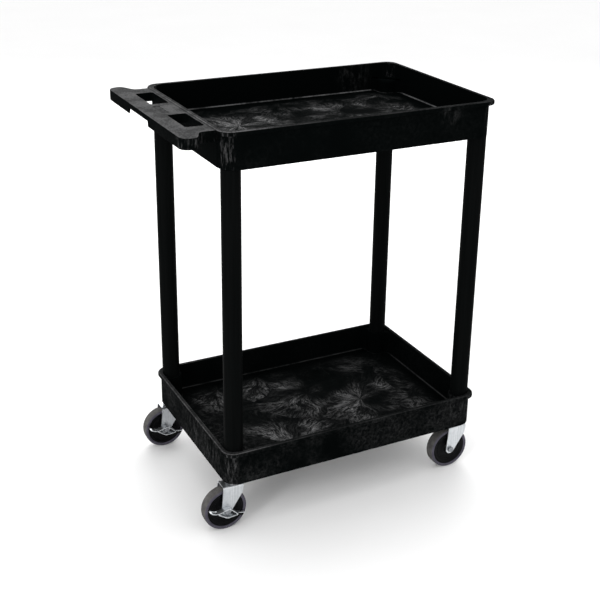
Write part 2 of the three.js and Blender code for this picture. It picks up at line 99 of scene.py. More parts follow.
LIP_OUT = 5
LIP_DROP = 10  # from the rim down to the lip's lower edge
LIP_CORNER = 30  # sharper than the wall's, so the rim juts out at the corners
LIP_EDGE = 4  # rounding of the lip's upper edge
LIP_HEM = 1.5  # rounding of its lower edge
LIP_ROOT = 2  # from its lower edge down to the middle of the fillet under the lip
WALL = 5
WALL_EDGE = 1.8  # rounding inside the rim and under the lip
WALL_LOOPS = [17, 40]  # below the rim: where the lip's corners have become the wall's, and mid-wall
BASE_EDGE = 2  # rounding of the wall's foot, outside
BASE_INNER_EDGE = 0.8  # rounding of the wall's foot, inside
UPPER_CORNER = 42  # radius of the wall's outer face at a corner
LOWER_CORNER = 34
FLOOR_TOP = 14
FLOOR_UNDER = 8
FLOOR_FILLET = 6
OVERLAP = 1  # how far one shell of a moulding runs into the next
BOSS_RADIUS = 26
BOSS_BLEND = 14  # fillet between a boss and the walls
BOSS_FLARE = [(1.6, -0.5), (1.2, 0.5), (0.5, 2), (0, 4)]  # its spread at heights over the floor
BOSS_ROOF = 4  # above the end of a leg
UPPER_BOSS_HEIGHT = 48
UPPER_BOSS_EDGE = 7
LOWER_BOSS_HEIGHT = 78
LOWER_BOSS_EDGE = 2
SEAT_DEPTH = 2  # below a boss's top, where the rim starts to make room for a leg
SEAT_REACH = 2  # and how far out from the wall it does so
FOOT_EDGE = [(-0.8, 0.3), (-0.2, 0.5), (0, 1.1)]  # a corner's spread at heights over its underside
HOLE_EDGE = 0.6  # chamfer of the holes and ribs
CHANNEL_HALF = 12.8
CHANNEL_RIB = 3.5
RIB_SPACING = 110
CROSS_RIBS = 5
CORNER_STEPS = 14

# --- leg dimensions ---

SPIGOT_RADIUS = 17  # the leg's reduced ends, inside the sockets
SPIGOT_EDGE = 0.6
SHOULDER_EDGE = 0.8
LEG_WALL = 4
LEG_GAP = 0.3
SOCKET_GAP = 0.4

# --- handle dimensions ---

HANDLE_TOP = 83
HANDLE_PLATE = 4
HANDLE_WALL = 4
HANDLE_SKIRT = 25
HANDLE_NECK_HALF = 200
HANDLE_NECK_END = 364
HANDLE_LOBE_START = 397
HANDLE_CORNER = 22
HANDLE_ROOT = 328.2  # inside the tub's wall
ROOT_STEP = 1.4
ROOT_SKIRT = 9
HANDLE_EDGE = [(2.4, 0), (1.2, 0.3), (0.4, 1), (0, 2)]  # inset at depths below its top
# The skirt's inset at heights over its lower edge:
HANDLE_HEM = [(0, 1.6), (0.4, 0.4), (1.4, 0), (2.6, 0), (3.6, 0.4), (HANDLE_WALL, 1.6)]
NOTCH_Y = [-37, 88]
NOTCH_SKIRT = 13
SLOT_X = [-384, -343]
SLOT_Y = [50, 157]
SLOT_CORNER = 6
SLOT_WALL = 3.5
SLOT_SKIRT = 21
SLOT_EDGE = [(1.5, 0), (0.5, 0.5), (0, 1.5)]  # spread at depths below the handle's top
LABEL_X = [-388, -373]
LABEL_Y = [-32, 32]
LABEL_CORNER = 1.5
LABEL_DEPTH = 1.2
CURVE_STEPS = 10

# --- caster dimensions ---

TRAIL = 26
STEM_PLATE_STEP = 14.1  # from the rim of a stem's top plate in to the hole round the stem
STEM_RADIUS = 5.5
STEM_TIP_RADIUS = 4
STEM_TIP = 1.5
TOP_PLATE_GAP = 0.3
KINGPIN_RADIUS = 5.2
KINGPIN_HEAD = 3.5
RACE_BORE = 10
RACE_RADIUS = 16.5  # up to its rolled rim
RACE_ROLL = 1.5
FORK_OUTER = 17.7
FORK_DISH = 0.7  # how far the edges of a fork's leg stand out
DISH_START = 26  # above the axle, clear of the pedal's reach
DISH_RUN = 8
FORK_THICKNESS = 2.2
FORK_BEND = 4.5
FORK_EDGE = 0.5
FORK_COLUMNS = 12
FORK_ROWS = 14
CROWN_X = [-33, 17]
CROWN_TOP = 113.2
KNEE = [13, 90]
KNEE_BLEND = 5
FOOT_RADIUS = 12
FOOT_ANGLES = [86, 74, 60, 45, 30, 15]
TREAD_DEPTH = 8
TREAD_GAP = 0.3
HEX_RADIUS = 7.5  # out to the corners of a bolt head or nut
HEX_CHAMFER = 1.0
HEAD_HEIGHT = 5
BOLT_RADIUS = 4
BOLT_TIP_RADIUS = 3.2
NUT_BORE = 4.2
WASHER_BORE = 4.3
WASHER_RADIUS = 8.6
WASHER_EDGE = 0.4
WASHER_THICKNESS = 0.9

# --- brake pedal, in [x, z] from its axle before the tilt ---

PEDAL_TILT = 15
PEDAL_BACK = -18.0
PEDAL_SHEET = 2
PEDAL_EDGE = 0.45
# Points along the wing and the arm, each with how far its edges stand before the back.
WING = [
    (-46.5, 2.6, 7, 3), (-44.5, -0.6, 10.5, 0.8), (-40, -3.4, 12, 0), (-31, -4.6, 12, 0),
    (-25.5, -3.4, 12.5, 0),
]
WING_CURL = 2.2
ARM = [(23.5, -1.7, 11, 0), (28, -2.5, 7, 0), (35, -2.9, 5.5, 0), (45, -2.5, 5, 0)]
ARM_CURL = 0.6
DIAMOND = [(25, -1.6), (-1, 12.4), (-27, -2.2), (-1, -11.2)]
DIAMOND_DEPTH = 14
DIAMOND_CORNER = 0.16  # share of a side taken by the round corner
HUB_PLATE_RADIUS = 11
SHOE_Y = [-19.5, -14.5]
SHOE_Z = [-11.8, -3.8]
SHOE_EDGE = 0.5

# --- steps round turned pieces ---

TURN_STEPS = 48
BOLT_STEPS = 32
LEG_STEPS = 72
WHEEL_STEPS = 96
TREAD_STEPS = 120


# --- mesh helpers ---

def arc(centre, radius, start, end, steps):
    """Points of a circular arc, angles in degrees."""
    points = []
    for k in range(steps + 1):
        a = math.radians(start + (end - start) * k / steps)
        points.append((centre[0] + radius * math.cos(a), centre[1] + radius * math.sin(a)))
    return points


def bend(start, at, end, t):
    """A point of the curve from start to end that is pulled towards the corner at."""
    return start * (1 - t) ** 2 + at * 2 * t * (1 - t) + end * t ** 2


def bezier(a, b, c, d, steps):
    points = []
    for k in range(steps + 1):
        t = k / steps
        points.append(tuple(
            a[i] * (1 - t) ** 3 + 3 * b[i] * t * (1 - t) ** 2 + 3 * c[i] * t * t * (1 - t) + d[i] * t ** 3
            for i in (0, 1)
        ))
    return points


def rounded_corner(a, corner, b, steps):
    return bezier(a, Vector(a).lerp(corner, 2 / 3), Vector(b).lerp(corner, 2 / 3), b, steps)


def add_loop(bm, points):
    return [bm.verts.new(Vector(p) * MM) for p in points]


def skin(bm, loops, closed=True):
    """Quads between successive loops of the same length."""
    for a, b in zip(loops, loops[1:]):
        count = len(a)
        for i in range(count if closed else count - 1):
            j = (i + 1) % count
            bm.faces.new((a[i], a[j], b[j], b[i]))


def cap(bm, loop):
    bm.faces.new(loop)


def closed_skin(bm, loops):
    skin(bm, loops)
    cap(bm, loops[0])
    cap(bm, loops[-1])


def holed_face(bm, outlines):
    """Triangles of a flat face: the first loop is its outside, the others are holes."""
    flat = [v for loop in outlines for v in loop]
    lines = [[v.co.copy() for v in loop] for loop in outlines]
    for a, b, c in tessellate_polygon(lines):
        if len({a, b, c}) == 3:
            bm.faces.new((flat[a], flat[b], flat[c]))


def lathe(bm, profile, segments, axis="Z", centre=(0, 0, 0)):
    """Turns [radius, height] points about an axis; points on the axis close the shape."""
    loops = []
    for radius, height in profile:
        points = []
        for k in range(segments):
            a = 2 * math.pi * k / segments
            x, y = radius * math.cos(a), radius * math.sin(a)
            p = (x, y, height) if axis == "Z" else (x, height, y)
            points.append(Vector(p) + Vector(centre))
        if radius > 0:
            loops.append(add_loop(bm, points))
        else:
            loops.append([bm.verts.new(points[0] * MM)])
    for a, b in zip(loops, loops[1:]):
        if len(a) == 1 and len(b) == 1:
            continue
        for i in range(segments):
            j = (i + 1) % segments
            corners = [a[i % len(a)], a[j % len(a)], b[j % len(b)], b[i % len(b)]]
            bm.faces.new(list(dict.fromkeys(corners)))
    if profile[0][0] > 0:
        skin(bm, [loops[-1], loops[0]])


def rounded(profile, radius, steps=3):
    """The profile with each inner corner turned into a small arc."""
    result = [profile[0]]
    for before, at, after in zip(profile, profile[1:], profile[2:]):
        p, a, b = Vector(at), Vector(before), Vector(after)
        reach = min(radius, (a - p).length * 0.45, (b - p).length * 0.45)
        start = p + (a - p).normalized() * reach
        end = p + (b - p).normalized() * reach
        result += [tuple(bend(start, p, end, k / steps)) for k in range(steps + 1)]
    result.append(profile[-1])
    return result


def mirrored(half):
    """A profile of [radius, height] and its mirror image below height 0."""
    return half + [(radius, -height) for radius, height in reversed(half) if height]


def offset_outline(points, distance):
    """A closed 2D outline, anticlockwise, moved outwards by distance."""
    moved = []
    count = len(points)
    for i in range(count):
        p = Vector(points[i])
        before = (p - Vector(points[i - 1])).normalized()
        after = (Vector(points[(i + 1) % count]) - p).normalized()
        along = before + after
        scale = 2 / max(along.length_squared, 1)
        moved.append(tuple(p + Vector((along.y, -along.x)) * scale * distance))
    return moved


def rectangle_outline(xs, ys, radius):
    """A rectangle with round corners, anticlockwise."""
    points = []
    for turn, (i, j) in enumerate(((1, 1), (0, 1), (0, 0), (1, 0))):
        inward = (radius, -radius)
        points += arc((xs[i] + inward[i], ys[j] + inward[j]), radius, turn * 90, turn * 90 + 90, 5)
    return points


def soft_box(bm, low, high, edge):
    """A box with its lower edges chamfered."""
    x0, y0, z0 = low
    x1, y1, z1 = high
    closed_skin(bm, [
        add_loop(bm, [
            (x0 + inset, y0 + inset, z), (x1 - inset, y0 + inset, z),
            (x1 - inset, y1 - inset, z), (x0 + inset, y1 - inset, z),
        ])
        for z, inset in ((z0, edge), (z0 + edge, 0), (z1, 0))
    ])


def finished(name, bm, material, smooth=35):
    """A smooth-shaded object from bm, with its normals facing out."""
    bmesh.ops.recalc_face_normals(bm, faces=bm.faces)
    mesh = bpy.data.meshes.new(name)
    bm.to_mesh(mesh)
    bm.free()
    mesh.polygons.foreach_set("use_smooth", [True] * len(mesh.polygons))
    mesh.set_sharp_from_angle(angle=math.radians(smooth))
    mesh.materials.append(material)
    obj = bpy.data.objects.new(name, mesh)
    bpy.context.scene.collection.objects.link(obj)
    return obj


def weighted(obj):
    modifier = obj.modifiers.new("flat_faces", "WEIGHTED_NORMAL")
    modifier.keep_sharp = True
    return obj


def bevelled(obj, width, segments=2):
    modifier = obj.modifiers.new("soft_edges", "BEVEL")
    modifier.width = width * MM
    modifier.segments = segments
    modifier.limit_method = "ANGLE"
    modifier.angle_limit = math.radians(40)
    return weighted(obj)


def fit(obj, node, body, at):
    """Puts a piece in its place, to stand for a node and ride on a body."""
    obj.location = at
    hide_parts(node)
    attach(obj, body)


# --- node graphs ---

class Look:
    """A material, its node graph and the object-space point its patterns are cut from."""

    def __init__(self, name, roughness, metallic=0.0, specular=0.5):
        self.material = bpy.data.materials.new(name)
        self.material.use_nodes = True
        self.tree = self.material.node_tree
        self.shader = self.tree.nodes["Principled BSDF"]
        self.shader.inputs["Roughness"].default_value = roughness
        self.shader.inputs["Metallic"].default_value = metallic
        self.shader.inputs["Specular IOR Level"].default_value = specular
        self.point = self.node("TexCoord").outputs["Object"]

    def node(self, kind, inputs=()):
        """A node; each input is a socket to link or a fixed value."""
        node = self.tree.nodes.new("ShaderNode" + kind)
        for key, value in dict(inputs).items():
            if isinstance(value, bpy.types.NodeSocket):
                self.tree.links.new(value, node.inputs[key])
            else:
                node.inputs[key].default_value = value
        return node

    def noise(self, point, scale, detail=4.0, rough=0.55, warp=0.0, output="Fac"):
        values = {"Vector": point, "Scale": scale, "Detail": detail, "Roughness": rough, "Distortion": warp}
        return self.node("TexNoise", values).outputs[output]

    def remap(self, value, low, high, to_low=0.0, to_high=1.0):
        """Low to high becomes to_low to to_high, smoothly and clamped."""
        ends = {"Value": value, "From Min": low, "From Max": high, "To Min": to_low, "To Max": to_high}
        node = self.node("MapRange", ends)
        node.interpolation_type = "SMOOTHSTEP"
        return node.outputs["Result"]

    def maths(self, operation, a, b=0):
        node = self.node("Math", {0: a, 1: b})
        node.operation = operation
        return node.outputs["Value"]

    def product(self, result, *factors):
        for factor in factors:
            result = self.maths("MULTIPLY", result, factor)
        return result

    def weighted_sum(self, a, share_a, b, share_b):
        return self.maths("ADD", self.product(a, share_a), self.product(b, share_b))

    def vector(self, operation, *inputs, output="Vector"):
        node = self.node("VectorMath", enumerate(inputs))
        node.operation = operation
        return node.outputs[output]

    def parts(self, vector):
        node = self.node("SeparateXYZ", {0: vector})
        return [node.outputs[axis] for axis in "XYZ"]

    def combined(self, *values):
        return self.node("CombineXYZ", enumerate(values)).outputs["Vector"]

    def stretched(self, scale):
        return self.node("Mapping", {"Vector": self.point, "Scale": scale}).outputs["Vector"]

    def ramp(self, value, dark, light):
        node = self.node("ValToRGB", {"Fac": value})
        for element, shade in zip(node.color_ramp.elements, (dark, light)):
            element.color = (*shade, 1)
        return node.outputs["Color"]

    def feed(self, key, source):
        self.tree.links.new(source, self.shader.inputs[key])

    def coat(self, tone, dark, light):
        self.feed("Base Color", self.ramp(tone, dark, light))

    def bump(self, height, strength, distance_m):
        values = {"Height": height, "Strength": strength, "Distance": distance_m}
        self.feed("Normal", self.node("Bump", values).outputs["Normal"])


# --- structural-foam plastic of the tubs ---

TUB_SPECULAR = 0.001  # so low because a black face seen at a slant would mirror the white room
FANS_PER_METRE = 5.0
MARKS_HALF_X_M = 0.31  # the floor's flow marks end here, from the tray's middle
MARKS_HALF_Y_M = 0.21


def bursts(look, point):
    """Feathered fans of fine streaks that spread from scattered points."""
    wandering = look.noise(point, 11, 4, 0.5, output="Color")
    warped = look.vector("MULTIPLY_ADD", wandering, (0.08, 0.08, 0.08), point)
    cells = look.node("TexVoronoi", {"Vector": warped, "Scale": FANS_PER_METRE, "Randomness": 0.8})
    cells.voronoi_dimensions = "2D"
    away = cells.outputs["Distance"]
    x, y, _ = look.parts(look.vector("SUBTRACT", warped, cells.outputs["Position"]))
    turn = look.maths("ARCTAN2", y, x)
    petals = look.combined(look.product(turn, 0.9), look.product(away, 1.6), look.noise(point, 4, 2))
    lobes = look.remap(look.noise(petals, 1.7, 2, 0.5), 0.4, 0.64, 0.1, 1.0)
    rays = look.combined(look.product(turn, 6.0), look.product(away, 3.0), look.noise(point, 14, 3))
    streaks = look.remap(look.noise(rays, 3.0, 9, 0.74), 0.42, 0.66, 0.03, 1.0)
    fur = look.remap(look.noise(point, 170, 7, 0.75), 0.36, 0.62, 0.5, 1.0)
    fade = look.remap(away, 0.1, 0.75, 1.0, 0.12)
    return look.product(lobes, look.product(streaks, fur), fade)


def flow_marks(look, x, y, upward, flow_from):
    """Fans in places over the middle of the tray's floor, cut from the pattern at flow_from."""
    flow = look.vector("ADD", look.point, flow_from)
    floor = look.remap(upward, 0.8, 0.98)
    places = look.remap(look.noise(flow, 3.4, 3), 0.36, 0.54)
    along = look.remap(look.maths("ABSOLUTE", x), MARKS_HALF_X_M * 0.72, MARKS_HALF_X_M, 1.0, 0.0)
    across = look.remap(look.maths("ABSOLUTE", y), MARKS_HALF_Y_M * 0.5, MARKS_HALF_Y_M, 1.0, 0.0)
    return look.product(bursts(look, flow), floor, places, look.product(along, across))


def wall_blotches(look, normal):
    """Pale grime, strongest on the outer walls."""
    outward = look.vector("DOT_PRODUCT", normal, look.point, output="Value")
    fine = look.remap(look.noise(look.point, 130, 10, 0.82, 0.3), 0.4, 0.74)
    patches = look.remap(look.noise(look.point, 10, 4), 0.32, 0.72)
    return look.product(fine, patches, look.remap(outward, 0.06, 0.12, 0.12, 1.0))


def rim_wear_and_painted_sheen(look, x, z, upward):
    """Wear and painted sheen on the rim's edge and all over the handle's top, on faces turned upwards; the
    rounded edge also gets a painted highlight.
    """
    rim_x = RIM_HALF_X * MM
    top = look.remap(z, (HANDLE_TOP - 2.5) * MM, (HANDLE_TOP - 0.5) * MM)
    facing_up = look.remap(upward, 0.45, 0.9)
    towards_handle = look.remap(x, -rim_x, -0.1, 1.0, 0.2)
    on_handle = look.remap(x, -rim_x - LIP_OUT * MM, -rim_x, 1.0, 0.0)
    # painted highlight: the rim's rounded edge is made lighter than its flat top
    edge = look.remap(upward, 0.9, 0.995, 1.7, 0.5)
    hands = look.product(look.noise(look.point, 24, 5, 0.65), look.noise(look.point, 240, 4, 0.7))
    rim = look.product(top, facing_up, towards_handle, look.maths("MAXIMUM", on_handle, edge))
    return look.product(rim, look.remap(hands, 0.18, 0.32, 0.4, 1.0))


def painted_fillet_line(look, z, upward):
    """A painted highlight: a broken pale line in the fillet between the floor and the walls."""
    foot = look.remap(z, (FLOOR_TOP + 0.4) * MM, (FLOOR_TOP + 1.2) * MM)
    below = look.remap(z, (FLOOR_TOP + 2.2) * MM, (FLOOR_TOP + 3.6) * MM, 1.0, 0.0)
    broken = look.remap(look.noise(look.point, 9, 5, 0.7), 0.36, 0.56)
    return look.product(foot, below, look.remap(upward, 0.2, 0.5), broken)


def corner_scuffs_and_highlight(look, x, y, upward):
    """Upright streaks on the outer corners, past the legs' axes: partly scuffs, partly a painted highlight
    down the rounded corners.
    """
    past_x = look.maths("ADD", look.maths("ABSOLUTE", x), -LEG_AT.x * MM)
    past_y = look.maths("ADD", look.maths("ABSOLUTE", y), -LEG_AT.y * MM)
    corner = look.remap(look.maths("MINIMUM", past_x, past_y), -0.004, 0.008)
    upright = look.remap(upward, 0.3, 0.6, 1.0, 0.0)
    streaks = look.noise(look.stretched((170, 170, 34)), 1, 7, 0.7)
    return look.product(corner, upright, look.remap(streaks, 0.5, 0.68))


def smudge(look, centre_m, reach_m):
    """A scuffed spot, streaky and fading out at its reach."""
    away = look.vector("DISTANCE", look.point, centre_m, output="Value")
    spot = look.remap(away, reach_m * 0.3, reach_m, 1.0, 0.0)
    streaks = look.noise(look.stretched((110, 110, 45)), 1, 9, 0.78)
    return look.product(spot, look.remap(streaks, 0.46, 0.72))


def foam_plastic(name, flow_from, marks, patches, wear_and_sheen, fillet_highlight, corner_scuff_and_highlight, spots):
    """Black plastic under layers of pale marks, each with a strength; some layers are painted light: sheen
    on the rim and handle top, and highlights in the floor's fillet and down the corners.
    """
    look = Look(name, 0.5, specular=TUB_SPECULAR)
    x, y, z = look.parts(look.point)
    normal = look.node("NewGeometry").outputs["Normal"]
    upward = look.parts(normal)[2]
    blotches = wall_blotches(look, normal)
    layers = [
        (flow_marks(look, x, y, upward, flow_from), marks),
        (blotches, patches),
        # wear plus painted sheen on the rim and the handle's top
        (rim_wear_and_painted_sheen(look, x, z, upward), wear_and_sheen),
        # a painted highlight along the floor's fillet
        (painted_fillet_line(look, z, upward), fillet_highlight),
        # scuffs plus a painted highlight on the outer corners
        (corner_scuffs_and_highlight(look, x, y, upward), corner_scuff_and_highlight),
    ]
    layers += [(smudge(look, centre_m, reach_m), strength) for centre_m, reach_m, strength in spots]
    grain = look.noise(look.point, 900, 2)
    total = look.product(grain, 0.004)
    for layer, strength in layers:
        total = look.maths("ADD", total, look.product(layer, strength))
    look.coat(total, (0.0008, 0.0013, 0.0013), (0.15, 0.15, 0.152))
    look.feed("Roughness", look.remap(total, 0.0, 0.6, 0.55, 0.42))
    look.bump(look.maths("ADD", look.product(grain, 0.35), blotches), 0.25, 0.0006)
    return look.material


# --- other materials ---

def tube_plastic():
    """Drawn black tube with faint lengthwise lines and a few scuffs."""
    look = Look("leg_tube_black", 0.42, specular=0.004)
    drawn = look.noise(look.stretched((60, 60, 1.5)), 3, 4)
    scuffs = look.remap(look.noise(look.point, 55, 8, 0.7), 0.62, 0.8)
    tone = look.weighted_sum(drawn, 0.25, scuffs, 0.5)
    look.coat(tone, (0.0011, 0.0014, 0.0014), (0.0105, 0.0113, 0.0113))
    look.feed("Roughness", look.remap(tone, 0.0, 0.6, 0.38, 0.5))
    look.bump(drawn, 0.08, 0.0004)
    return look.material


def plated_steel(name, dark, light, roughness):
    """Plated or bare metal with a faint spangle and rolling lines."""
    look = Look(name, roughness, metallic=1.0)
    lines = look.noise(look.stretched((420, 420, 12)), 1, 3)
    tone = look.weighted_sum(look.noise(look.point, 160, 3), 0.25, lines, 0.75)
    look.coat(look.remap(tone, 0.3, 0.7), dark, light)
    look.feed("Roughness", look.remap(tone, 0.3, 0.7, roughness - 0.06, roughness + 0.08))
    look.bump(tone, 0.12, 0.0002)
    return look.material


def moulded(name, dark, light, roughness, scale, depth_m, specular):
    """Plain moulded plastic or rubber with a little mottling."""
    look = Look(name, roughness, specular=specular)
    mottle = look.noise(look.point, scale, 6, 0.62)
    dust = look.remap(look.noise(look.point, scale * 0.3, 4), 0.45, 0.75)
    look.coat(look.remap(look.weighted_sum(mottle, 0.6, dust, 0.4), 0.2, 0.8), dark, light)
    look.feed("Roughness", look.remap(mottle, 0.3, 0.7, roughness - 0.06, roughness + 0.08))
    look.bump(mottle, 0.2, depth_m)
    return look.material


def tread_rubber():
    """Grey rubber, paler and warmer on the rolling face than on its side rings."""
    look = Look("tread_rubber", 0.7, specular=0.1)
    x, _, z = look.parts(look.point)
    radius = look.maths("SQRT", look.weighted_sum(x, x, z, z))
    rolling = look.remap(radius, (WHEEL_RADIUS - 1.6) * MM, (WHEEL_RADIUS - 0.7) * MM)
    mottle = look.remap(look.noise(look.point, 90, 6, 0.62), 0.25, 0.75)
    mix = look.node("Mix", {"Factor": rolling})
    mix.data_type = "RGBA"
    side = look.ramp(mottle, (0.046, 0.043, 0.056), (0.076, 0.072, 0.092))
    crown = look.ramp(mottle, (0.052, 0.05, 0.049), (0.092, 0.089, 0.086))
    look.tree.links.new(side, mix.inputs["A"])
    look.tree.links.new(crown, mix.inputs["B"])
    look.feed("Base Color", mix.outputs["Result"])
    look.bump(mottle, 0.2, 0.0003)
    return look.material


UPPER_PLASTIC = foam_plastic(
    "upper_tub_foam_plastic",
    # rim strength: wear plus painted sheen; fillet strength: painted highlight; corner strength: scuffs
    # plus painted highlight
    flow_from=(0, 0, 0), marks=2.1, patches=0.03, wear_and_sheen=0.5, fillet_highlight=0.6, corner_scuff_and_highlight=0.28,
    spots=[((0.22, 0.227, 0.056), 0.06, 0.13), ((0.21, -0.232, 0.068), 0.04, 0.13)],
)
LOWER_PLASTIC = foam_plastic(
    "lower_tub_foam_plastic",
    # rim strength: wear plus painted sheen; fillet strength: painted highlight; corner strength: scuffs
    # plus painted highlight
    flow_from=(2.1, 1.4, 0), marks=1.8, patches=0.2, wear_and_sheen=0.28, fillet_highlight=0.14, corner_scuff_and_highlight=0.3,
    spots=[((0.29, -0.232, 0.06), 0.06, 0.18), ((-0.336, -0.08, 0.045), 0.2, 0.22)],
)
LEG_PLASTIC = tube_plastic()
ZINC = plated_steel("zinc_steel", (0.46, 0.48, 0.5), (0.68, 0.7, 0.72), 0.34)
BOLT = plated_steel("bolt_steel", (0.16, 0.17, 0.18), (0.34, 0.35, 0.37), 0.34)
RACE = plated_steel("race_steel", (0.12, 0.12, 0.12), (0.4, 0.4, 0.41), 0.4)
ALUMINIUM = plated_steel("bar_aluminium", (0.3, 0.305, 0.31), (0.5, 0.505, 0.51), 0.45)
WHEEL = moulded("wheel_plastic", (0.001, 0.001, 0.0013), (0.006, 0.006, 0.0068), 0.42, 120, 0.0002, 0.06)
TREAD = tread_rubber()
SHOE = moulded("shoe_rubber", (0.002, 0.002, 0.002), (0.01, 0.01, 0.01), 0.7, 150, 0.0003, 0.1)
SOCKET = moulded("socket_plastic", (0.004, 0.004, 0.004), (0.014, 0.014, 0.014), 0.55, 120, 0.0002, 0.15)


# --- tubs ---

def tub_loop(offset, z, radius):
    """A rectangle with round corners, offset outwards from the wall's outer face."""
    half_x = RIM_HALF_X - LIP_OUT + offset
    half_y = RIM_HALF_Y - LIP_OUT + offset
    points = []
    for corner, (sx, sy) in enumerate(((1, 1), (-1, 1), (-1, -1), (1, -1))):
        middle = (sx * (half_x - radius), sy * (half_y - radius))
        points += [(x, y, z) for x, y in arc(middle, radius, corner * 90, corner * 90 + 90, CORNER_STEPS)]
    return points


def seat_round_legs(points, offset):
    """Moves the inner edge of the rim back so that each leg has room to stand in its corner."""
    radius = LEG_RADIUS + SOCKET_GAP + max(offset + WALL, 0)
    seated = []
    for x, y, z in points:
        axis = Vector((math.copysign(LEG_AT.x, x), math.copysign(LEG_AT.y, y)))
        away = Vector((x, y)) - axis
        if away.length < radius:
            x, y = axis + away.normalized() * radius
        seated.append((x, y, z))
    return seated


def tub_profile(corner, boss_height):
    """[offset, height, corner radius] round the tub's section, from the tray floor to the underside."""
    top = TUB_HEIGHT
    hem = top - LIP_DROP
    lip_corner = LIP_CORNER - LIP_OUT
    seat = boss_height - SEAT_DEPTH
    profile = []

    def turn(centre, radius, start, end, steps, corner_radius=corner):
        for offset, z in arc(centre, radius, start, end, steps):
            profile.append((offset, z, corner_radius + offset))

    turn((-WALL - FLOOR_FILLET, FLOOR_TOP + FLOOR_FILLET), FLOOR_FILLET, -90, 0, 6)
    profile.extend((-WALL, z, corner - WALL) for z in (seat - 1, seat + 1))
    turn((-WALL + WALL_EDGE, top - WALL_EDGE), WALL_EDGE, 180, 90, 4)
    turn((LIP_OUT - LIP_EDGE, top - LIP_EDGE), LIP_EDGE, 90, 0, 6, lip_corner)
    turn((LIP_OUT - LIP_HEM, hem + LIP_HEM), LIP_HEM, 0, -90, 4, lip_corner)
    turn((WALL_EDGE, hem - LIP_ROOT), WALL_EDGE, 90, 180, 4, (lip_corner + corner) / 2)
    profile.extend((0, top - depth, corner) for depth in WALL_LOOPS)
    turn((-BASE_EDGE, BASE_EDGE), BASE_EDGE, 0, -90, 4)
    turn((-WALL + BASE_INNER_EDGE, BASE_INNER_EDGE), BASE_INNER_EDGE, -90, -180, 2)
    turn((-WALL - OVERLAP, FLOOR_UNDER - OVERLAP), OVERLAP, 0, 90, 2)
    return profile


def boss_outline(side_x, side_y, corner):
    """A corner boss from above, anticlockwise: filleted to both walls, its outer side inside the wall."""
    wall_x = RIM_HALF_X - LIP_OUT - WALL - LEG_AT.x
    wall_y = RIM_HALF_Y - LIP_OUT - WALL - LEG_AT.y
    reach = BOSS_RADIUS + BOSS_BLEND
    first = (wall_x - BOSS_BLEND, -math.sqrt(reach ** 2 - (wall_x - BOSS_BLEND) ** 2))
    second = (-math.sqrt(reach ** 2 - (wall_y - BOSS_BLEND) ** 2), wall_y - BOSS_BLEND)
    first_turn = math.degrees(math.atan2(-first[1], -first[0]))
    second_turn = math.degrees(math.atan2(-second[1], -second[0]))
    inner_corner = corner - WALL
    buried = inner_corner + WALL / 2
    points = [(wall_x + WALL / 2, first[1])]
    points += arc(first, BOSS_BLEND, 0, first_turn, 6)
    points += arc((0, 0), BOSS_RADIUS, first_turn - 180, second_turn - 180, 16)[1:-1]
    points += arc(second, BOSS_BLEND, second_turn, 90, 6)
    points.append((second[0], wall_y + WALL / 2))
    points += arc((wall_x - inner_corner, wall_y - inner_corner), buried, 90, 0, 8)
    points.reverse()
    points = [(side_x * x, side_y * y) for x, y in points]
    if side_x * side_y < 0:
        points.reverse()
    return points


def boss_loops(bm, side_x, side_y, corner, levels):
    outline = boss_outline(side_x, side_y, corner)
    at = Vector((side_x * LEG_AT.x, side_y * LEG_AT.y, 0))
    loops = []
    for grow, z in levels:
        moved = offset_outline(outline, grow)
        loops.append(add_loop(bm, [Vector((x, y, z)) + at for x, y in moved]))
    skin(bm, loops)
    return loops


def add_bore(bm, side_x, side_y, radius, start, end, face):
    """A round hole, chamfered at its start and closed at its end, let into the flat face inside a loop."""
    at = Vector((side_x * LEG_AT.x, side_y * LEG_AT.y, 0))
    chamfer_end = start + math.copysign(HOLE_EDGE, end - start)
    loops = []
    for ring, z in ((radius + HOLE_EDGE, start), (radius, chamfer_end), (radius, end)):
        circle = arc((0, 0), ring, 0, 360, TURN_STEPS)[:-1]
        loops.append(add_loop(bm, [Vector((x, y, z)) + at for x, y in circle]))
    skin(bm, loops)
    cap(bm, loops[-1])
    holed_face(bm, [face, loops[0]])


def add_boss(bm, side_x, side_y, corner, height, edge, socket):
    """A boss that stands in a tray corner; a socket leaves it open round the leg."""
    levels = [(spread, FLOOR_TOP + rise) for spread, rise in BOSS_FLARE]
    for k in range(6):
        a = k * math.pi / 10
        levels.append((edge * (math.cos(a) - 1), height - edge * (1 - math.sin(a))))
    loops = boss_loops(bm, side_x, side_y, corner, levels)
    cap(bm, loops[0])
    if socket:
        add_bore(bm, side_x, side_y, SPIGOT_RADIUS + SOCKET_GAP, height, FLOOR_TOP + OVERLAP, loops[-1])
    else:
        cap(bm, loops[-1])


def add_foot(bm, side_x, side_y, corner, bore, depth):
    """The underside of a corner, solid down to the tub's edge, with a hole for a leg or a caster's stem."""
    loops = boss_loops(bm, side_x, side_y, corner, [*FOOT_EDGE, (0, FLOOR_UNDER + OVERLAP)])
    cap(bm, loops[-1])
    add_bore(bm, side_x, side_y, bore, FOOT_EDGE[0][1], depth, loops[0])


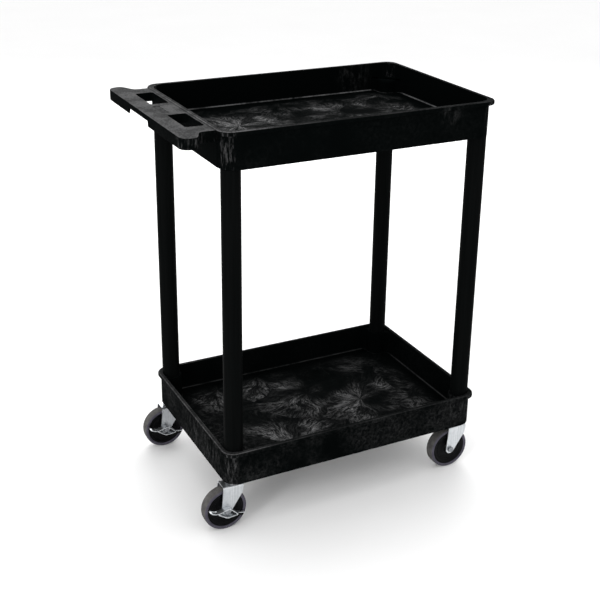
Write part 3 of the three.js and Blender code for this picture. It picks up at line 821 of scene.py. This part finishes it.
def add_underside(bm):
    """Channel ribs beside each bar and cross ribs between them."""
    bar_y = abs(centre_of("lower_bar_front").y) / MM
    bar_half = size_of("lower_bar_front").x / 2
    top = FLOOR_UNDER + OVERLAP
    for side in (-1, 1):
        for edge in (-CHANNEL_HALF - CHANNEL_RIB, CHANNEL_HALF):
            y = side * bar_y + edge
            soft_box(bm, (-bar_half, y, 0), (bar_half, y + CHANNEL_RIB, top), HOLE_EDGE)
    inner = bar_y - CHANNEL_HALF - CHANNEL_RIB + OVERLAP
    for k in range(CROSS_RIBS):
        x = (k - CROSS_RIBS // 2) * RIB_SPACING
        low = (x - CHANNEL_RIB / 2, -inner, 0)
        soft_box(bm, low, (x + CHANNEL_RIB / 2, inner, top), HOLE_EDGE)


def add_shell(bm, corner, boss_height, seated):
    """The tray itself; seated makes room in its rim for the legs."""
    loops = []
    for offset, z, radius in tub_profile(corner, boss_height):
        points = tub_loop(offset, z, radius)
        if seated and z > boss_height - SEAT_DEPTH and offset < SEAT_REACH:
            points = seat_round_legs(points, offset)
        loops.append(add_loop(bm, points))
    closed_skin(bm, loops)


# --- handle ---

def handle_outline():
    """The handle from above, anticlockwise from the rear root: neck, lobe, bar, lobe, neck."""
    neck, bar = HANDLE_NECK_HALF, HANDLE_BAR_HALF
    out, lobe, end = -HANDLE_OUT, -HANDLE_LOBE_START, -HANDLE_NECK_END
    middle = (end + lobe) / 2
    side = [(-HANDLE_ROOT, neck), (-HANDLE_ROOT - ROOT_STEP, neck)]
    side += bezier((end, neck), (middle, neck), (middle, bar), (lobe, bar), CURVE_STEPS)
    side += rounded_corner((lobe, bar), (out, bar), (out, bar - HANDLE_CORNER), CURVE_STEPS)[1:]
    notch = [(out, y + step) for y in reversed(NOTCH_Y) for step in (1, -1)]
    return side + notch + [(x, -y) for x, y in reversed(side)]


def skirt_bottom(x, y):
    """Height of the skirt's lower edge at an outline point."""
    if x > -HANDLE_ROOT - 1:
        return HANDLE_TOP - ROOT_SKIRT
    if x < -HANDLE_OUT + 1 and NOTCH_Y[0] < y < NOTCH_Y[1]:
        return HANDLE_TOP - NOTCH_SKIRT
    return HANDLE_TOP - HANDLE_SKIRT


def walls_from(bm, outline, levels):
    """Loops of an outline, moved out by each level's first number, at its height."""
    loops = []
    for grow, height in levels:
        moved = offset_outline(outline, grow)
        loops.append(add_loop(bm, [(x, y, height(i)) for i, (x, y) in enumerate(moved)]))
    skin(bm, loops)
    return loops


def flat_walls(bm, outline, levels):
    """Walls whose every loop is level: [spread, height] from top to bottom."""
    return walls_from(bm, outline, [(spread, lambda i, z=z: z) for spread, z in levels])


def add_handle(bm):
    """Plate, outer skirt, two walled hand slots and a blank recessed label panel."""
    outline = handle_outline()
    bottoms = [skirt_bottom(x, y) for x, y in outline]
    ceiling = HANDLE_TOP - HANDLE_PLATE
    levels = [(-inset, lambda i, z=HANDLE_TOP - drop: z) for inset, drop in HANDLE_EDGE]
    levels += [(-inset, lambda i, rise=rise: bottoms[i] + rise) for inset, rise in HANDLE_HEM]
    levels.append((-HANDLE_WALL, lambda i: ceiling))
    outside = walls_from(bm, outline, levels)
    top_loops, ceiling_loops = [outside[0]], [outside[-1]]
    for side in (-1, 1):
        slot = rectangle_outline(SLOT_X, sorted(side * y for y in SLOT_Y), SLOT_CORNER)
        bottom = HANDLE_TOP - SLOT_SKIRT
        rounds = [(spread, HANDLE_TOP - drop) for spread, drop in SLOT_EDGE]
        rounds += [(0, bottom + 1), (1, bottom), (SLOT_WALL - 1, bottom), (SLOT_WALL, bottom + 1)]
        loops = flat_walls(bm, slot, [*rounds, (SLOT_WALL, ceiling)])
        top_loops.append(loops[0])
        ceiling_loops.append(loops[-1])
    label = rectangle_outline(LABEL_X, LABEL_Y, LABEL_CORNER)
    edge = [(0.5, 0), (0, 0.4), (0, LABEL_DEPTH - 0.2), (-0.3, LABEL_DEPTH)]
    panel = flat_walls(bm, label, [(spread, HANDLE_TOP - drop) for spread, drop in edge])
    cap(bm, panel[-1])
    holed_face(bm, [*top_loops, panel[0]])
    holed_face(bm, ceiling_loops)


def make_tub(name, material, corner, boss_height, boss_edge, foot_bore, foot_depth, handle):
    """A tray: with a handle and closed bosses, or with open sockets."""
    bm = bmesh.new()
    add_shell(bm, corner, boss_height, seated=not handle)
    for side_x in (-1, 1):
        for side_y in (-1, 1):
            add_boss(bm, side_x, side_y, corner, boss_height, boss_edge, socket=not handle)
            add_foot(bm, side_x, side_y, corner, foot_bore, foot_depth)
    add_underside(bm)
    if handle:
        add_handle(bm)
    tub = weighted(finished(name + "_moulding", bm, material))
    fit(tub, name, "frame", (TUB_MIDDLE_X_M, 0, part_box(name)[0].z))


# --- legs ---

def make_leg(corner):
    """A tube between the tubs, its ends reduced to fit the sockets."""
    node = "leg_" + corner
    bottom, top = ends_of(node, 2)
    low_shoulder = lower_low.z / MM + LOWER_BOSS_HEIGHT + LEG_GAP
    high_shoulder = upper_low.z / MM - LEG_GAP
    bore, spigot_bore = LEG_RADIUS - LEG_WALL, SPIGOT_RADIUS - LEG_WALL
    spigot_edge, shoulder_edge = SPIGOT_RADIUS - SPIGOT_EDGE, LEG_RADIUS - SHOULDER_EDGE
    bm = bmesh.new()
    lathe(bm, [
        (spigot_bore, bottom), (spigot_edge, bottom), (SPIGOT_RADIUS, bottom + SPIGOT_EDGE),
        (SPIGOT_RADIUS, low_shoulder), (shoulder_edge, low_shoulder),
        (LEG_RADIUS, low_shoulder + SHOULDER_EDGE), (LEG_RADIUS, high_shoulder - SHOULDER_EDGE),
        (shoulder_edge, high_shoulder), (SPIGOT_RADIUS, high_shoulder),
        (SPIGOT_RADIUS, top - SPIGOT_EDGE), (spigot_edge, top), (spigot_bore, top),
        (spigot_bore, high_shoulder - LEG_WALL), (bore, high_shoulder - 2 * LEG_WALL),
        (bore, low_shoulder + 2 * LEG_WALL), (spigot_bore, low_shoulder + LEG_WALL),
    ], LEG_STEPS)
    leg = weighted(finished(node + "_tube", bm, LEG_PLASTIC))
    fit(leg, node, "frame", centre_of(node) * ON_FLOOR)


# --- casters ---

def fork_side(z):
    """Rear and front edge of a fork leg at a height, from the swivel axis."""
    axle_z = WHEEL_RADIUS
    knee = Vector(KNEE)
    foot = Vector((-TRAIL, axle_z))
    towards = knee - foot
    turn = math.atan2(towards.y, towards.x) - math.acos(FOOT_RADIUS / towards.length)
    touch = foot + Vector((math.cos(turn), math.sin(turn))) * FOOT_RADIUS
    reach = math.sqrt(max(FOOT_RADIUS ** 2 - min(z - axle_z, 0) ** 2, 0))
    rear = -TRAIL - reach
    if z > axle_z:
        rear += (CROWN_X[0] + TRAIL + FOOT_RADIUS) * (z - axle_z) / (CROWN_TOP - axle_z)
    lower = (knee.x - touch.x) / (knee.y - touch.y)
    upper = (CROWN_X[1] - knee.x) / (CROWN_TOP - knee.y)
    if z < touch.y:
        return rear, -TRAIL + reach
    if z < knee.y - KNEE_BLEND:
        return rear, touch.x + lower * (z - touch.y)
    if z > knee.y + KNEE_BLEND:
        return rear, knee.x + upper * (z - knee.y)
    t = (z - knee.y + KNEE_BLEND) / (2 * KNEE_BLEND)
    return rear, bend(knee.x - KNEE_BLEND * lower, knee.x, knee.x + KNEE_BLEND * upper, t)


def fork_path():
    """[y, z] points up one leg, over the crown and down the other."""
    axle_z = WHEEL_RADIUS
    straight = CROWN_TOP - FORK_BEND - axle_z
    heights = [axle_z - FOOT_RADIUS * math.sin(math.radians(a)) for a in FOOT_ANGLES]
    heights += [axle_z + k * straight / FORK_ROWS for k in range(FORK_ROWS)]
    up = [(-FORK_OUTER, z) for z in heights]
    up += arc((-FORK_OUTER + FORK_BEND, CROWN_TOP - FORK_BEND), FORK_BEND, 180, 90, 6)
    up += [(-FORK_OUTER + FORK_BEND + 4, CROWN_TOP)]
    return up + [(-y, z) for y, z in reversed(up)]


def make_fork(corner, swivel):
    """A pressed steel yoke, its legs a little dished so that their edges stand out."""
    bm = bmesh.new()
    rows = []
    for y, z in fork_path():
        rear, front = fork_side(min(z, CROWN_TOP))
        upright = abs(y) > FORK_OUTER - 0.01
        rise = min(max((z - WHEEL_RADIUS - DISH_START) / DISH_RUN, 0), 1)
        row = []
        for k in range(FORK_COLUMNS + 1):
            u = 2 * k / FORK_COLUMNS - 1
            out = FORK_DISH * u ** 6 * rise if upright else 0
            row.append((rear + (front - rear) * (u + 1) / 2, y + math.copysign(out, y), z))
        rows.append(add_loop(bm, row))
    skin(bm, rows, closed=False)
    fork = finished("fork_%s_yoke" % corner, bm, ZINC)
    solid = fork.modifiers.new("sheet", "SOLIDIFY")
    solid.thickness = FORK_THICKNESS * MM
    solid.offset = -1
    fit(bevelled(fork, FORK_EDGE), "fork_" + corner, "caster_" + corner, swivel)


def make_stem(corner, swivel):
    """Stem, top plate and riveted kingpin."""
    bottom, top = ends_of("caster_stem_" + corner, 2)
    head_top = bottom + KINGPIN_HEAD
    plate = lower_low.z / MM - TOP_PLATE_GAP
    bm = bmesh.new()
    lathe(bm, [
        (0, bottom), (5, bottom + 0.2), (7.4, bottom + 1.2), (8, head_top), (KINGPIN_RADIUS, head_top),
        (KINGPIN_RADIUS, plate - 2.4), (18.5, plate - 2.6), (19.6, plate - 2.2), (20, plate - 1.2),
        (19.6, plate - 0.3), (18.8, plate), (STEM_RADIUS, plate), (STEM_RADIUS, top - STEM_TIP),
        (STEM_TIP_RADIUS, top), (0, top),
    ], TURN_STEPS)
    stem = weighted(finished("caster_stem_%s_pin" % corner, bm, ZINC))
    fit(stem, "caster_stem_" + corner, "frame", swivel)


def make_race(corner, swivel):
    """The raceway ring between crown and top plate, with a rolled rim."""
    bottom, top = ends_of("ball_race_" + corner, 2)
    rim = arc((RACE_RADIUS, (bottom + top) / 2), RACE_ROLL, -90, 90, 6)[1:-1]
    bm = bmesh.new()
    lathe(bm, [
        (RACE_BORE, bottom), (RACE_RADIUS, bottom), *rim, (RACE_RADIUS, top), (RACE_BORE, top),
    ], TURN_STEPS)
    race = weighted(finished("ball_race_%s_ring" % corner, bm, RACE))
    fit(race, "ball_race_" + corner, "frame", swivel)


def make_wheel(corner, axle):
    """Hub, web with a raised ring on each side, and rim."""
    rim = WHEEL_RADIUS - TREAD_DEPTH - TREAD_GAP
    half = rounded([
        (6.4, 14.8), (12, 14.8), (12.6, 12), (15, 9.6), (22, 8.6), (30, 8.6), (30.6, 9.2), (31.6, 9.2),
        (32.2, 8.6), (36.5, 8.9), (39.5, 11.4), (42.6, 11.6), (rim, 11.2),
    ], 0.8)
    bm = bmesh.new()
    lathe(bm, mirrored(half), WHEEL_STEPS, axis="Y")
    wheel = weighted(finished("wheel_core_%s_disc" % corner, bm, WHEEL))
    fit(wheel, "wheel_core_" + corner, "wheel_" + corner, axle)


def make_tread(corner, axle):
    """The tyre: a rounded crown, two fine grooves beside it and a raised bead at its foot."""
    half = [
        (0, 12), (0.6, 12.6), (2, 13.3), (4.2, 13.5), (4.6, 13.1), (5.2, 13.1), (5.9, 12.9), (6.8, 12.1),
        (7.5, 10.7), (7.7, 9.4), (7.45, 9.0), (7.75, 8.6), (7.95, 5), (TREAD_DEPTH, 0),
    ]
    half = [(WHEEL_RADIUS - TREAD_DEPTH + rise, y) for rise, y in half]
    bm = bmesh.new()
    lathe(bm, mirrored(half), TREAD_STEPS, axis="Y")
    tread = finished("tread_%s_tyre" % corner, bm, TREAD, 40)
    fit(tread, "tread_" + corner, "wheel_" + corner, axle)


def hexagon(bm, start, end, bore):
    """A six-sided head from y start to end, its corners cut by a cone at the end; a nut has a bore."""
    inward = math.copysign(HEX_CHAMFER, start - end)
    loops = []
    for y, limit in ((start, 1), (end + inward, 1), (end + inward / 2, 0.965), (end, 0.9)):
        points = []
        for k in range(TURN_STEPS):
            a = 2 * math.pi * k / TURN_STEPS
            flat = math.cos(math.pi / 6) / math.cos((a % (math.pi / 3)) - math.pi / 6)
            radius = HEX_RADIUS * min(flat, limit)
            points.append((radius * math.sin(a), y, radius * math.cos(a)))
        loops.append(add_loop(bm, points))
    skin(bm, loops)
    cap(bm, loops[0])
    if bore:
        loops.append(add_loop(bm, [(y, end, x) for x, y in arc((0, 0), bore, 0, 360, TURN_STEPS)[:-1]]))
        skin(bm, loops[-2:])
    cap(bm, loops[-1])


def make_bolt(corner, axle):
    """Hex head and shank, from the nodes' own length."""
    node = "axle_bolt_" + corner
    head, tip = ends_of(node, 1, axle.y)
    bm = bmesh.new()
    hexagon(bm, head + HEAD_HEIGHT, head, None)
    neck = head + 2
    shank = [(0, neck), (BOLT_RADIUS, neck), (BOLT_RADIUS, tip - 1), (BOLT_TIP_RADIUS, tip), (0, tip)]
    lathe(bm, shank, BOLT_STEPS, axis="Y")
    bolt = weighted(finished(node + "_hex", bm, BOLT))
    fit(bolt, node, "caster_" + corner, axle)


def make_nut(corner, axle):
    """Hex nut with a washer face."""
    node = "axle_nut_" + corner
    inner, outer = ends_of(node, 1, axle.y)
    washer = inner + WASHER_THICKNESS
    bm = bmesh.new()
    hexagon(bm, inner, outer, NUT_BORE)
    lathe(bm, [
        (WASHER_BORE, inner), (WASHER_RADIUS, inner), (WASHER_RADIUS, washer - WASHER_EDGE),
        (WASHER_RADIUS - WASHER_EDGE, washer), (WASHER_BORE, washer),
    ], TURN_STEPS, axis="Y")
    nut = weighted(finished(node + "_hex", bm, BOLT))
    fit(nut, node, "caster_" + corner, axle)


# --- brake pedals ---

def smooth_line(points, steps):
    """A Catmull-Rom line through points."""
    result = []
    padded = [points[0], *points, points[-1]]
    for a, b, c, d in zip(padded, padded[1:], padded[2:], padded[3:]):
        for k in range(steps):
            t = k / steps
            result.append(tuple(
                0.5 * (2 * q + (r - p) * t + (2 * p - 5 * q + 4 * r - s) * t * t
                       + (3 * q - p - 3 * r + s) * t ** 3)
                for p, q, r, s in zip(a, b, c, d)
            ))
    result.append(points[-1])
    return result


def add_strip(bm, line, curl, closed=False):
    """A bent sheet: line holds [x, z, reach, gap] of its two edges; curl is how far they turn up."""
    across = 8
    count = len(line)
    rings = []
    for i, (x, z, reach, gap) in enumerate(line):
        before = line[i - 1] if closed or i else line[i]
        after = line[(i + 1) % count] if closed or i + 1 < count else line[i]
        along = Vector((after[0] - before[0], after[1] - before[1])).normalized()
        normal = Vector((-along.y, along.x))
        rows = [[], []]
        for k in range(across + 1):
            v = 2 * k / across - 1
            y = PEDAL_BACK - reach + (reach - gap) * k / across
            for row, side in zip(rows, (1, -1)):
                p = Vector((x, z)) + normal * (curl * abs(v) ** 3 + side * PEDAL_SHEET / 2)
                row.append((p.x, y, p.y))
        rings.append([*add_loop(bm, rows[0]), *reversed(add_loop(bm, rows[1]))])
    if closed:
        skin(bm, [*rings, rings[0]])
    else:
        closed_skin(bm, rings)


def make_pedal(corner, axle):
    """Scooped wing, diamond round the bolt head, thin arm and the hub plate behind."""
    bm = bmesh.new()
    add_strip(bm, smooth_line(WING, 5), WING_CURL)
    ring = []
    for i, point in enumerate(DIAMOND):
        at = Vector(point)
        start, end = at.lerp(DIAMOND[i - 1], DIAMOND_CORNER), at.lerp(DIAMOND[(i + 1) % 4], DIAMOND_CORNER)
        ring += [(*bend(start, at, end, k / 4), DIAMOND_DEPTH, 0) for k in range(5)]
    add_strip(bm, ring, 0, closed=True)
    add_strip(bm, smooth_line(ARM, 4), ARM_CURL)
    front = PEDAL_BACK - PEDAL_SHEET
    plate = [(WASHER_BORE, PEDAL_BACK), (HUB_PLATE_RADIUS, PEDAL_BACK), (HUB_PLATE_RADIUS, front),
             (WASHER_BORE, front)]
    lathe(bm, rounded(plate, 0.5), TURN_STEPS, axis="Y")
    pedal = bevelled(finished("brake_pedal_%s_plate" % corner, bm, ZINC), PEDAL_EDGE)
    pedal.rotation_euler.y = math.radians(PEDAL_TILT)
    fit(pedal, "brake_pedal_" + corner, "brake_" + corner, axle)


def make_shoe(corner, axle):
    """A small rubber pad with a groove across its face."""
    bm = bmesh.new()
    bottom, top = SHOE_Z
    outline = [
        (36, top), (36, bottom + 2), (37.5, bottom), (39.2, bottom), (39.6, bottom + 1),
        (40.6, bottom + 1), (41, bottom), (43.5, bottom), (45, bottom + 2), (45, top),
    ]
    loops = [add_loop(bm, [(x, y, z) for x, z in outline]) for y in SHOE_Y]
    closed_skin(bm, loops)
    shoe = bevelled(finished("brake_shoe_%s_pad" % corner, bm, SHOE), SHOE_EDGE)
    shoe.rotation_euler.y = math.radians(PEDAL_TILT)
    fit(shoe, "brake_shoe_" + corner, "brake_" + corner, axle)


# --- build ---

def paint_node(node, material):
    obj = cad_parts[node]
    obj.data.materials.clear()
    obj.data.materials.append(material)


make_tub(
    "upper_tub", UPPER_PLASTIC, UPPER_CORNER, UPPER_BOSS_HEIGHT, UPPER_BOSS_EDGE,
    foot_bore=SPIGOT_RADIUS + SOCKET_GAP, foot_depth=UPPER_BOSS_HEIGHT - BOSS_ROOF, handle=True,
)
make_tub(
    "lower_tub", LOWER_PLASTIC, LOWER_CORNER, LOWER_BOSS_HEIGHT, LOWER_BOSS_EDGE,
    foot_bore=size_of("caster_stem_left_rear").x / 2 - STEM_PLATE_STEP, foot_depth=FLOOR_TOP - OVERLAP,
    handle=False,
)
for corner in CORNERS:
    swivel = centre_of("caster_stem_" + corner) * ON_FLOOR
    axle = centre_of("tread_" + corner)
    make_leg(corner)
    for make in (make_stem, make_race, make_fork):
        make(corner, swivel)
    for make in (make_wheel, make_tread, make_bolt, make_nut):
        make(corner, axle)
    paint_node("stem_socket_" + corner, SOCKET)
    paint_node("axle_sleeve_" + corner, BOLT)
    if corner in BRAKED:
        make_pedal(corner, axle)
        make_shoe(corner, axle)
for tub in ("upper", "lower"):
    for side in ("front", "rear"):
        paint_node("%s_bar_%s" % (tub, side), ALUMINIUM)


# --- floor, light and camera ---

middle = (cad_low + cad_high) / 2


def make_floor():
    """A large pale floor under the wheels."""
    bm = bmesh.new()
    bmesh.ops.create_grid(bm, x_segments=2, y_segments=2, size=30)
    mesh = bpy.data.meshes.new("studio_floor")
    bm.to_mesh(mesh)
    bm.free()
    look = Look("pale_floor", 0.75, specular=0.2)
    look.coat(look.noise(look.point, 1.5, 3), (0.86, 0.86, 0.86), (0.9, 0.9, 0.9))
    mesh.materials.append(look.material)
    floor = bpy.data.objects.new("studio_floor", mesh)
    bpy.context.scene.collection.objects.link(floor)
    floor.location.z = cad_low.z


def make_light(name, at, towards, size_m, watts):
    light = bpy.data.lights.new(name, "AREA")
    light.shape = "RECTANGLE"
    light.size, light.size_y = size_m
    light.energy = watts
    obj = bpy.data.objects.new(name, light)
    bpy.context.scene.collection.objects.link(obj)
    obj.location = at
    obj.rotation_euler = (Vector(towards) - Vector(at)).to_track_quat("-Z", "Y").to_euler()
    obj.visible_camera = False


def make_world(strength):
    world = bpy.data.worlds.new("studio")
    bpy.context.scene.world = world
    world.use_nodes = True
    background = world.node_tree.nodes["Background"]
    background.inputs["Color"].default_value = (1, 1, 1, 1)
    background.inputs["Strength"].default_value = strength


def make_camera(azimuth, elevation, distance_m, lens, lens_shift, aim_shift_m, roll):
    """A camera on a line from near the middle of the cart, with a small roll."""
    a, e = math.radians(azimuth), math.radians(elevation)
    back = Vector((math.sin(a) * math.cos(e), -math.cos(a) * math.cos(e), math.sin(e)))
    aim = middle + Vector(aim_shift_m)
    data = bpy.data.cameras.new("camera")
    data.lens = lens
    data.shift_y = lens_shift
    camera = bpy.data.objects.new("camera", data)
    bpy.context.scene.collection.objects.link(camera)
    turn = (-back).to_track_quat("-Z", "Y").to_matrix().to_4x4()
    camera.matrix_world = Matrix.Translation(aim + back * distance_m) @ turn
    camera.matrix_world = camera.matrix_world @ Matrix.Rotation(math.radians(roll), 4, "Z")
    bpy.context.scene.camera = camera


make_floor()
make_world(1.1)
make_light("top_softbox", (0.3, 0.6, 3.2), middle, (3.0, 2.4), 30)
make_light("back_softbox", (1.6, 3.4, 2.3), middle, (4.0, 2.0), 80)
make_light("left_strip", (-3.2, -2.0, 1.5), middle, (0.7, 2.6), 50)
# The lens is shifted down a little, as on a view camera, so that the legs converge less.
make_camera(
    azimuth=-26.98, elevation=21.01, distance_m=2.663, lens=66.0, lens_shift=-0.1,
    aim_shift_m=(0.019, 0.035, 0.103), roll=0.76,
)
bpy.context.scene.view_settings.view_transform = "Standard"
